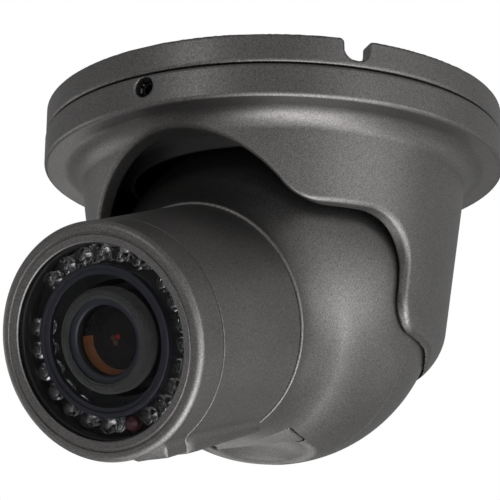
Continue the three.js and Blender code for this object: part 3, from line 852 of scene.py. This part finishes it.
piece("service_plate", ["service_cover"], "service_cover", [(
    prism([(FACET_X[0], FACET_Y[0], 0.6), (FACET_X[1], FACET_Y[0], 0.6),
           (FACET_X[1], FACET_Y[1], 0.6), (FACET_X[0], FACET_Y[1], 0.6)],
          FACET_DISTANCE - PLATE_THICK, FACET_DISTANCE, 0.6), PAINTED)], FACET)
piece("menu_key", ["menu_button"], "menu_button", [(turned([
    (0, 38.4), (3, 38.4, 0.3), (3, 39.8, 0.3), (2, 39.8, 0.3), (2, 46.9, 0.8), (0, 46.9),
], segments=48), RUBBER)], FACET)


# ---------------------------------------------------------------- barrel and cap

BARREL_REAR_R = 34.9
BARREL_FRONT_R = 33.55
BARREL_START = COLLAR_END + GAP
BARREL_END = 85.6
CAP_R = 33.5
CAP_START = BARREL_END + 0.6
CAP_END = 97.4
WINDOW_R = 27.5
RAIL_X = (5.2, 15.6)
RAIL_FILLET = 1.6
RAIL_REACH = 41.0
WALL_LOW_R = 32.5


def round_angles():
    """Even steps round the barrel, and finer ones across the rail at the lower right."""
    even = np.linspace(0, 2 * math.pi, 144, endpoint=False)
    fine = np.radians(np.linspace(270 + 4, 270 + 34, 84))
    outside = even[(even < fine[0]) | (even > fine[-1])]
    return np.sort(np.concatenate([outside, fine]))


def railed_field(cylinder, bottom, start, end):
    """The outer wall with the rail along its underside."""
    def field(x, y, z):
        rail = box_field((x, y, z), (RAIL_X[0], bottom, start - 3), (RAIL_X[1], -20, end), 0.7)
        return join_soft(cylinder(np.hypot(x, y), z), rail, RAIL_FILLET)
    return field


def railed(corners, field, start, end):
    """A turned shape whose outer wall, from start to end, also carries the rail."""
    points, normals = outline(corners)
    angles = round_angles()
    verts, faces, slopes = rings(points, normals, angles, True)
    r = np.hypot(verts[:, 0], verts[:, 1])
    outward = (slopes[:, :2] * verts[:, :2]).sum(axis=1) / r
    on_wall = (r > WALL_LOW_R) & (outward > 0.02) & (verts[:, 2] > start - 0.01) & (verts[:, 2] < end + 0.01)
    ways = verts[on_wall, :2] / r[on_wall, None]
    z = verts[on_wall, 2]
    low = r[on_wall] - 0.05
    high = np.full(len(low), RAIL_REACH)
    for _ in range(26):
        middle = (low + high) / 2
        inside = field(ways[:, 0] * middle, ways[:, 1] * middle, z) < 0
        low = np.where(inside, middle, low)
        high = np.where(inside, high, middle)
    grown = high > r[on_wall] + 0.02
    reach = np.where(grown, high, r[on_wall])
    verts[on_wall, :2] = ways * reach[:, None]
    surface = unit(gradient(field, verts[on_wall], 0.1))
    picked = slopes[on_wall]
    picked[grown] = surface[grown]
    slopes[on_wall] = picked
    return verts, faces, slopes


def stations(first, last, count):
    """Even steps between two ends, without the ends."""
    return np.linspace(first, last, count)[1:-1].tolist()


def sleeve_radius(z):
    share = (z - BARREL_START) / (BARREL_END - BARREL_START)
    return BARREL_REAR_R + (BARREL_FRONT_R - BARREL_REAR_R) * share


SLEEVE_SIDE = [(sleeve_radius(z), z) for z in stations(BARREL_START, BARREL_END, 9)]
sleeve_field = railed_field(lambda r, z: r - sleeve_radius(z), -34.4, BARREL_START, BARREL_END)
piece("barrel_tube", ["barrel_sleeve"], "ball", [(railed([
    (33.16, 34.5, 0.3),
    (33.16, BARREL_START, 0.1),
    (BARREL_REAR_R, BARREL_START, 0.35),
    *SLEEVE_SIDE,
    (BARREL_FRONT_R, BARREL_END, 0.35),
    (31.3, BARREL_END, 0.1),
    (31.3, 89.2, 0.15),
    (30.3, 89.2, 0.1),
    (30.3, 90.8, 0.1),
    (31.3, 90.8, 0.15),
    (31.3, 92.0, 0.3),
    (29.3, 92.0, 0.2),
    (29.3, 84.4, 0.1),
    (27.5, 84.4, 0.1),
    (27.5, 82.4, 0.1),
    (29.3, 82.4, 0.1),
    (29.3, 34.5, 0.2),
], sleeve_field, BARREL_START, BARREL_END), PAINTED)], BARREL)


CAP_FACE = 97.15
CAP_ROUND = 2.1
RAIL_END = 95.9
GRUB_Z = 88
GRUB_ANGLE = math.radians(18)
cap_field = railed_field(lambda r, z: r - CAP_R, -33.8, CAP_START, RAIL_END)
CAP_SIDE = [(CAP_R, z) for z in (87.5, 89.5, 91.5, 93.5, 94.6, 95.0, 95.2)]
CAP_BEND = [(CAP_R - CAP_ROUND + CAP_ROUND * math.cos(a), CAP_END - CAP_ROUND + CAP_ROUND * math.sin(a), 0.05)
            for a in np.radians(np.linspace(0, 90, 10))]
piece("barrel_cap", ["front_cap"], "cap", [(railed([
    (31.6, CAP_START, 0.2),
    (CAP_R, CAP_START, 0.35),
    *CAP_SIDE,
    *CAP_BEND,
    (30.55, CAP_END, 0.12),
    (30.3, CAP_END - 0.5, 0.12),
    (29.85, CAP_END - 0.5, 0.12),
    (29.7, CAP_END, 0.25),
    (WINDOW_R + 0.3, CAP_FACE, 0.2),
    (WINDOW_R, CAP_FACE - 0.4, 0.2),
    (WINDOW_R, 96.9, 0.1),
    (28.9, 96.9, 0.1),
    (28.9, 92.3, 0.1),
    (31.6, 92.3, 0.1),
], cap_field, CAP_START, RAIL_END + 0.05), PAINTED)], BARREL)

piece("cap_grub_screw", ["cap_screw"], "cap", [(turned([
    (0, 31.75), (1.3, 31.75, 0.3), (1.3, 33.1, 0.2), (0.8, 33.1, 0.1), (0.7, 32.2, 0.1), (0, 32.2),
], segments=32), BLACK_STEEL)], BARREL @ axes_at(
    [0, 0, GRUB_Z], [math.cos(GRUB_ANGLE), math.sin(GRUB_ANGLE), 0], [0, 0, -1],
    [math.sin(GRUB_ANGLE), -math.cos(GRUB_ANGLE), 0]))
piece("cap_seal", ["cap_oring"], "ball", [(turned([
    (30.4, 89.4, 0.55), (31.5, 89.4, 0.55), (31.5, 90.6, 0.55), (30.4, 90.6, 0.55),
], segments=128, steps=5), RUBBER)], BARREL)


# ---------------------------------------------------------------- window, baffle and lamps

GLASS_FACE = 96.6
piece("window_pane", ["window_glass"], "cap", [(turned([
    (0, GLASS_FACE - 1.3), (28.6, GLASS_FACE - 1.3, 0.2), (28.6, GLASS_FACE, 0.2), (0, GLASS_FACE),
], segments=128), WINDOW)], BARREL)
piece("window_clamp_ring", ["window_retainer"], "cap", [(turned([
    (27.0, 92.4, 0.2), (28.6, 92.4, 0.2), (28.6, 95.0, 0.2), (27.0, 95.0, 0.5),
], segments=128), BLACK_PLASTIC)], BARREL)
piece("light_baffle", ["window_light_baffle"], "cap", [(turned([
    (18.5, 92.6, 0.3), (21.4, 92.6, 0.3), (21.4, 95.0, 0.45), (19.95, 95.0, 0.3),
    (19.8, 94.35, 0.15), (18.5, 94.3, 0.35),
], segments=128, steps=4), SOFT_BAFFLE)], BARREL)

BOARD_FACE = 86.3
BOARD_REACH = (16.5, 28.8)
BOARD_THICK = 1.6
LAMP_R = 2.5
LAMP_TIP = 94.2
LAMP_TURN = 40
RESISTORS = 10


def centre_of(node_name):
    """Where a CAD node's middle lies across the barrel, in the barrel's own x and y."""
    low, high = box_mm(node_name)
    offset = (low + high) / 2 - BARREL_CENTRE
    return float(offset[0]), float(offset @ UPWARD)


def lamp_shapes():
    """A clear moulded lamp on the lamp board, with its cup, chip and post inside."""
    foot = BOARD_FACE + GAP
    dome = [(LAMP_R * math.cos(a), LAMP_TIP - LAMP_R + LAMP_R * math.sin(a), 0.02)
            for a in np.radians(np.linspace(0, 90, 9)[:-1])]
    body = turned([(0, foot), (2.9, foot, 0.15), (2.9, foot + 1, 0.2), (LAMP_R, foot + 1, 0.2), *dome,
                   (0, LAMP_TIP)], segments=40)
    cup = turned([(0, foot + 1.2), (0.5, foot + 1.2, 0.1), (0.6, foot + 2.2), (1.25, foot + 3.3, 0.1),
                  (1.05, foot + 3.3, 0.05), (0.45, foot + 2.4, 0.1), (0, foot + 2.4)], segments=24)
    chip = prism(rectangle(-0.28, -0.28, 0.28, 0.28), foot + 2.45, foot + 2.7, 0.04, 0.04)
    post = shifted(prism(rectangle(-0.25, -0.25, 0.25, 0.25), foot + 0.6, foot + 3.6, 0.06, 0.06), 1.6, 0)
    return [(body, RESIN), (cup, REFLECTOR), (chip, CHIP), (post, REFLECTOR)]


LAMP = lamp_shapes()
for name in sorted(name for name in frame["nodes"] if name.startswith("ir_lamp_")):
    x, y = centre_of(name)
    facing = math.degrees(math.atan2(y, x))
    piece(name.replace("ir_lamp", "infrared_lamp"), [name], "ball",
          [(shifted(spun(shape, facing + LAMP_TURN), x, y), material) for shape, material in LAMP], BARREL)

sensor_x, sensor_y = centre_of("light_sensor")
piece("daylight_sensor", ["light_sensor"], "ball", [
    (shifted(turned([(0, BOARD_FACE + GAP), (2.3, BOARD_FACE + GAP, 0.2), (2.3, 89.4, 0.7),
                     (1.2, 90.2, 0.8), (0, 90.4)], segments=40), sensor_x, sensor_y), PINK_RESIN),
    (shifted(turned([(0, 87.4), (1.5, 87.4, 0.1), (1.5, 88.6, 0.1), (0, 88.6)], segments=32),
             sensor_x, sensor_y), SENSOR_CHIP),
], BARREL)


def board_shapes():
    """The lamp board with its chip resistors."""
    inner, outer = BOARD_REACH
    back = BOARD_FACE - BOARD_THICK
    shapes = [(turned([(inner, back), (outer, back), (outer, BOARD_FACE), (inner, BOARD_FACE)],
                      segments=128), BOARD)]
    for k in range(RESISTORS):
        resistor = prism(rectangle(-1.0, -0.5, 1.0, 0.5), BOARD_FACE - 0.02, BOARD_FACE + 0.26, 0.05, 0.05)
        shapes.append((spun(shifted(resistor, 18.6), 360 / RESISTORS * k + 11), CHIP))
    return shapes


piece("lamp_ring_board", ["lamp_board"], "ball", board_shapes(), BARREL)


# ---------------------------------------------------------------- lens

LENS_R = 12.5
LENS_FRONT = 92.6
# The arc of the lens seat that gets the painted amber reflection: its start and its width, in degrees.
REFLECTION_ARC_FROM = 168
REFLECTION_ARC_SPAN = 120


def knurled(from_z, to_z, knob_angle):
    """An adjusting ring with grip ribs, and the finger screw that turns and locks it."""
    outside, bore = 15.2, 12.8
    ribs, depth = 60, 0.22
    verts, faces, normals = turned([(bore, from_z, 0.2), (outside, from_z, 0.35),
                                    (outside, to_z, 0.35), (bore, to_z, 0.2)], segments=480)
    r = np.hypot(verts[:, 0], verts[:, 1])
    turn = np.arctan2(verts[:, 1], verts[:, 0]) * ribs
    grip = (r > outside - 0.4).astype(float)
    verts[:, :2] *= (1 - grip * depth * (1 - np.cos(turn)) / 2 / r)[:, None]
    slope = grip * depth * np.sin(turn) * ribs / 2 / r
    radial = normals[:, 0] * np.cos(turn / ribs) + normals[:, 1] * np.sin(turn / ribs)
    normals[:, 0] -= slope * radial * np.sin(turn / ribs)
    normals[:, 1] += slope * radial * np.cos(turn / ribs)
    screw = moved(turned([(0, 14.0), (1.3, 14.0), (1.3, 18.5), (2.4, 18.5, 0.3), (2.4, 22.0, 0.5), (0, 22.0)],
                         segments=32), axes_at([0, 0, (from_z + to_z) / 2], [0, 1, 0], [0, 0, 1], [1, 0, 0]))
    return [((verts, faces, unit(normals)), BLACK_PLASTIC), (spun(screw, knob_angle - 90), STEEL)]


piece("zoom_grip_ring", ["zoom_ring"], "zoom_ring", knurled(60, 67, 60), BARREL)
piece("focus_grip_ring", ["focus_ring"], "focus_ring", knurled(72, 79, 100), BARREL)
piece("lens_barrel", ["lens_body"], "ball", [(turned([
    (6, 49.5, 0.2), (LENS_R, 49.5, 0.3), (LENS_R, LENS_FRONT, 0.5), (10.2, LENS_FRONT, 0.15),
    (10.2, 80.0, 0.2), (6, 76.0, 0.2),
], segments=96), BLACK_PLASTIC)], BARREL)
piece("lens_name_ring", ["lens_front_ring"], "ball", [(turned([
    (9.85, 92.9, 0.1), (12.1, 92.9, 0.15), (12.1, 93.8, 0.3), (10.3, 93.6, 0.3), (9.85, 93.2, 0.15),
], segments=96), LENS_RING)] + [(spun(shifted(
    prism(rectangle(-0.12, -0.55, 0.12, 0.55), 93.45, 93.86, 0.02, 0.02), 11.3, 0), angle), BLACK_PLASTIC)
    for angle in (98, 278)], BARREL)
piece("lens_foam", ["lens_foam_ring"], "ball", [(turned([
    (12.8, 90.0, 0.3), (14.9, 90.0, 0.4), (14.9, 93.7, 0.8), (14.1, 94.7, 0.8), (12.8, 95.0, 0.6),
    (11.8, 94.7, 0.4), (11.8, 94.2, 0.2), (12.8, 94.1, 0.2),
], segments=128, steps=4), FOAM)], BARREL)


def gets_painted_reflection(x, y, z):
    """Whether a point of the seat lies in the arc that gets the painted amber reflection."""
    turn = (np.degrees(np.arctan2(y, x)) - REFLECTION_ARC_FROM) % 360
    return np.abs(turn - REFLECTION_ARC_SPAN / 2) < REFLECTION_ARC_SPAN / 2


def front_lens_shapes():
    """The domed front element over a seat with a painted amber reflection on one arc and painted shade on the
    rest, a near-black second element as painted shade, a small red painted glint and two dim painted glints.
    """
    dome = turned([(0, 91.0), (9.8, 91.0, 0.2), (9.8, 91.7, 0.2), (6.6, 92.45, 4.0), (0, 92.9)], segments=96)
    seat = turned([(9.9, 91.0, 0.1), (8.9, 86.9, 0.1), (8.9, 86.7, 0.1), (9.95, 86.7, 0.1)], segments=180)
    # One arc of the seat gets the painted amber reflection. The rest gets the near-black glass as painted
    # shade.
    lit, dark = parted(seat, gets_painted_reflection)
    second = turned([(0, 86.8), (8.85, 86.8, 0.1), (8.85, 87.1, 0.2), (5.5, 88.0, 4.0), (0, 88.4)],
                    segments=96)
    glint = turned([(0, 88.2), (1.0, 88.2, 0.1), (0.7, 88.6, 0.4), (0, 88.7)], segments=32)
    # The red dot and the two dim amber dots are painted glints, not parts of the lens.
    red = shifted(glint, 0.5, 0.5)
    brown = [shifted(glint, x, y, -0.1) for x, y in ((-1.2, 0.4), (-0.6, -1.1))]
    return [(dome, LENS_GLASS), (lit, PAINTED_AMBER_REFLECTION), (dark, SHADED_GLASS), (second, SHADED_GLASS), (red, PAINTED_RED_GLINT),
            *[(shape, PAINTED_DIM_GLINT) for shape in brown]]


piece("front_lens_group", ["front_lens"], "ball", front_lens_shapes(), BARREL)
# The rear element gets the near-black glass: painted shade.
piece("rear_lens_element", ["rear_lens"], "ball", [(turned([
    (0, 51.0), (5.6, 52.4, 0.3), (5.6, 55.0, 0.3), (0, 56.5),
], segments=64), SHADED_GLASS)], BARREL)


# ---------------------------------------------------------------- nodes that keep their CAD shape

CARRIED = {
    "pan_seal": RUBBER,
    "pivot_pin_right": STEEL,
    "pivot_pin_left": STEEL,
    "friction_washer_right": BLACK_PLASTIC,
    "friction_washer_left": BLACK_PLASTIC,
    "main_board": BOARD,
    "cable_connector": BLACK_PLASTIC,
    "lens_mount": BLACK_PLASTIC,
    # The cut filter gets the near-black glass: painted shade.
    "cut_filter": SHADED_GLASS,
    "sensor_board": BOARD,
    "image_sensor": CHIP,
}
for name, material in CARRIED.items():
    for slot in frame["nodes"][name].material_slots:
        slot.material = material


# ---------------------------------------------------------------- camera, floor and light

def look(location, target, roll=0.0):
    """The matrix of a camera or lamp that faces a target, rolled by an angle in degrees."""
    back = (Vector(location) - Vector(target)).normalized()
    right = Vector((0, 0, 1)).cross(back).normalized()
    up = back.cross(right)
    a = math.radians(roll)
    tilted = right * math.cos(a) + up * math.sin(a)
    upright = up * math.cos(a) - right * math.sin(a)
    rotation = Matrix((tilted, upright, back)).transposed()
    return Matrix.Translation(location) @ rotation.to_4x4()


EYE_PLACE = (0.320775, -0.525923, -0.224595)
EYE_TARGET = (-0.008453, 0, -0.042859)
EYE_ROLL = 0.626
FOCAL_LENGTH = 145.48

view = bpy.data.cameras.new("view")
view.sensor_width = 36
view.lens = FOCAL_LENGTH
view.clip_start = 0.01
eye = bpy.data.objects.new("view", view)
bpy.context.scene.collection.objects.link(eye)
eye.matrix_world = look(EYE_PLACE, EYE_TARGET, EYE_ROLL)
bpy.context.scene.camera = eye

LAMP_TARGET = (0, 0, -0.055)
FLOOR_Z = -1.6
FLOOR_HALF = 1.5
floor_mesh = bpy.data.meshes.new("floor")
corners = [(x, y, FLOOR_Z) for x, y in rectangle(-FLOOR_HALF, -FLOOR_HALF, FLOOR_HALF, FLOOR_HALF)]
floor_mesh.from_pydata(corners, [], [(0, 1, 2, 3)])
floor_mesh.materials.append(plain_material("pale_floor", (0.78, 0.78, 0.77), 0.8, 3.0, 0.05, contrast=0.02))
floor = bpy.data.objects.new("floor", floor_mesh)
bpy.context.scene.collection.objects.link(floor)


def soft_lamp(name, location, size, power):
    """A rectangular lamp that faces the middle of the object and stays out of sight."""
    lamp = bpy.data.lights.new(name, "AREA")
    lamp.shape = "RECTANGLE"
    lamp.size, lamp.size_y = size
    lamp.energy = power
    made = bpy.data.objects.new(name, lamp)
    bpy.context.scene.collection.objects.link(made)
    made.matrix_world = look(location, LAMP_TARGET)
    made.visible_camera = False


# Each lamp's name, place in metres, width and height, and power in watts.
LAMPS = (
    ("under_light", (0.0, -0.1, -0.6), (0.6, 0.6), 1.35),
    ("under_right_light", (0.4, -0.2, -0.42), (0.4, 0.4), 1.1),
    ("under_front_light", (0.15, -0.15, -0.55), (0.35, 0.35), 0.9),
    ("front_light", (0.3, -0.55, -0.3), (0.4, 0.4), 0.38),
    ("right_light", (0.85, -0.2, -0.25), (0.4, 0.5), 1.1),
    ("right_rear_light", (0.9, 0.15, -0.1), (0.4, 0.6), 0.65),
    ("right_high_light", (0.85, -0.3, 0.25), (0.5, 0.5), 0.42),
    ("glint_light", (-0.1, -1.0, 0.3), (0.1, 0.1), 0.5),
    ("left_light", (-0.9, -0.2, -0.2), (0.6, 0.6), 0.9),
    ("left_rear_light", (-0.5, 0.6, -0.58), (0.35, 0.3), 0.45),
    ("right_under_rear_light", (0.6, 0.6, -0.5), (0.5, 0.4), 0.2),
)
for lamp_name, place, size, power in LAMPS:
    soft_lamp(lamp_name, place, size, power)


def studio_world():
    """White for the camera. For everything else, a dim grey that is brighter at the back right."""
    world = bpy.data.worlds.new("studio")
    world.use_nodes = True
    tree = world.node_tree
    background = tree.nodes["Background"]
    background.inputs["Color"].default_value = (1, 1, 1, 1)
    direction = tree.nodes.new("ShaderNodeTexCoord")
    towards = tree.nodes.new("ShaderNodeVectorMath")
    towards.operation = "DOT_PRODUCT"
    towards.inputs[1].default_value = (0.65, 0.75, 0)
    fade = tree.nodes.new("ShaderNodeMapRange")
    fade.interpolation_type = "SMOOTHSTEP"
    for socket, value in (("From Min", 0.5), ("From Max", 0.95), ("To Min", 0.26), ("To Max", 0.40)):
        fade.inputs[socket].default_value = value
    tree.links.new(direction.outputs["Generated"], towards.inputs[0])
    tree.links.new(towards.outputs["Value"], fade.inputs["Value"])
    tree.links.new(fade.outputs["Result"], background.inputs["Strength"])
    backdrop = tree.nodes.new("ShaderNodeBackground")
    backdrop.inputs["Color"].default_value = (1, 1, 1, 1)
    path = tree.nodes.new("ShaderNodeLightPath")
    choice = tree.nodes.new("ShaderNodeMixShader")
    tree.links.new(path.outputs["Is Camera Ray"], choice.inputs[0])
    tree.links.new(background.outputs[0], choice.inputs[1])
    tree.links.new(backdrop.outputs[0], choice.inputs[2])
    tree.links.new(choice.outputs[0], tree.nodes["World Output"].inputs["Surface"])
    return world


bpy.context.scene.world = studio_world()
bpy.context.scene.view_settings.view_transform = "Standard"
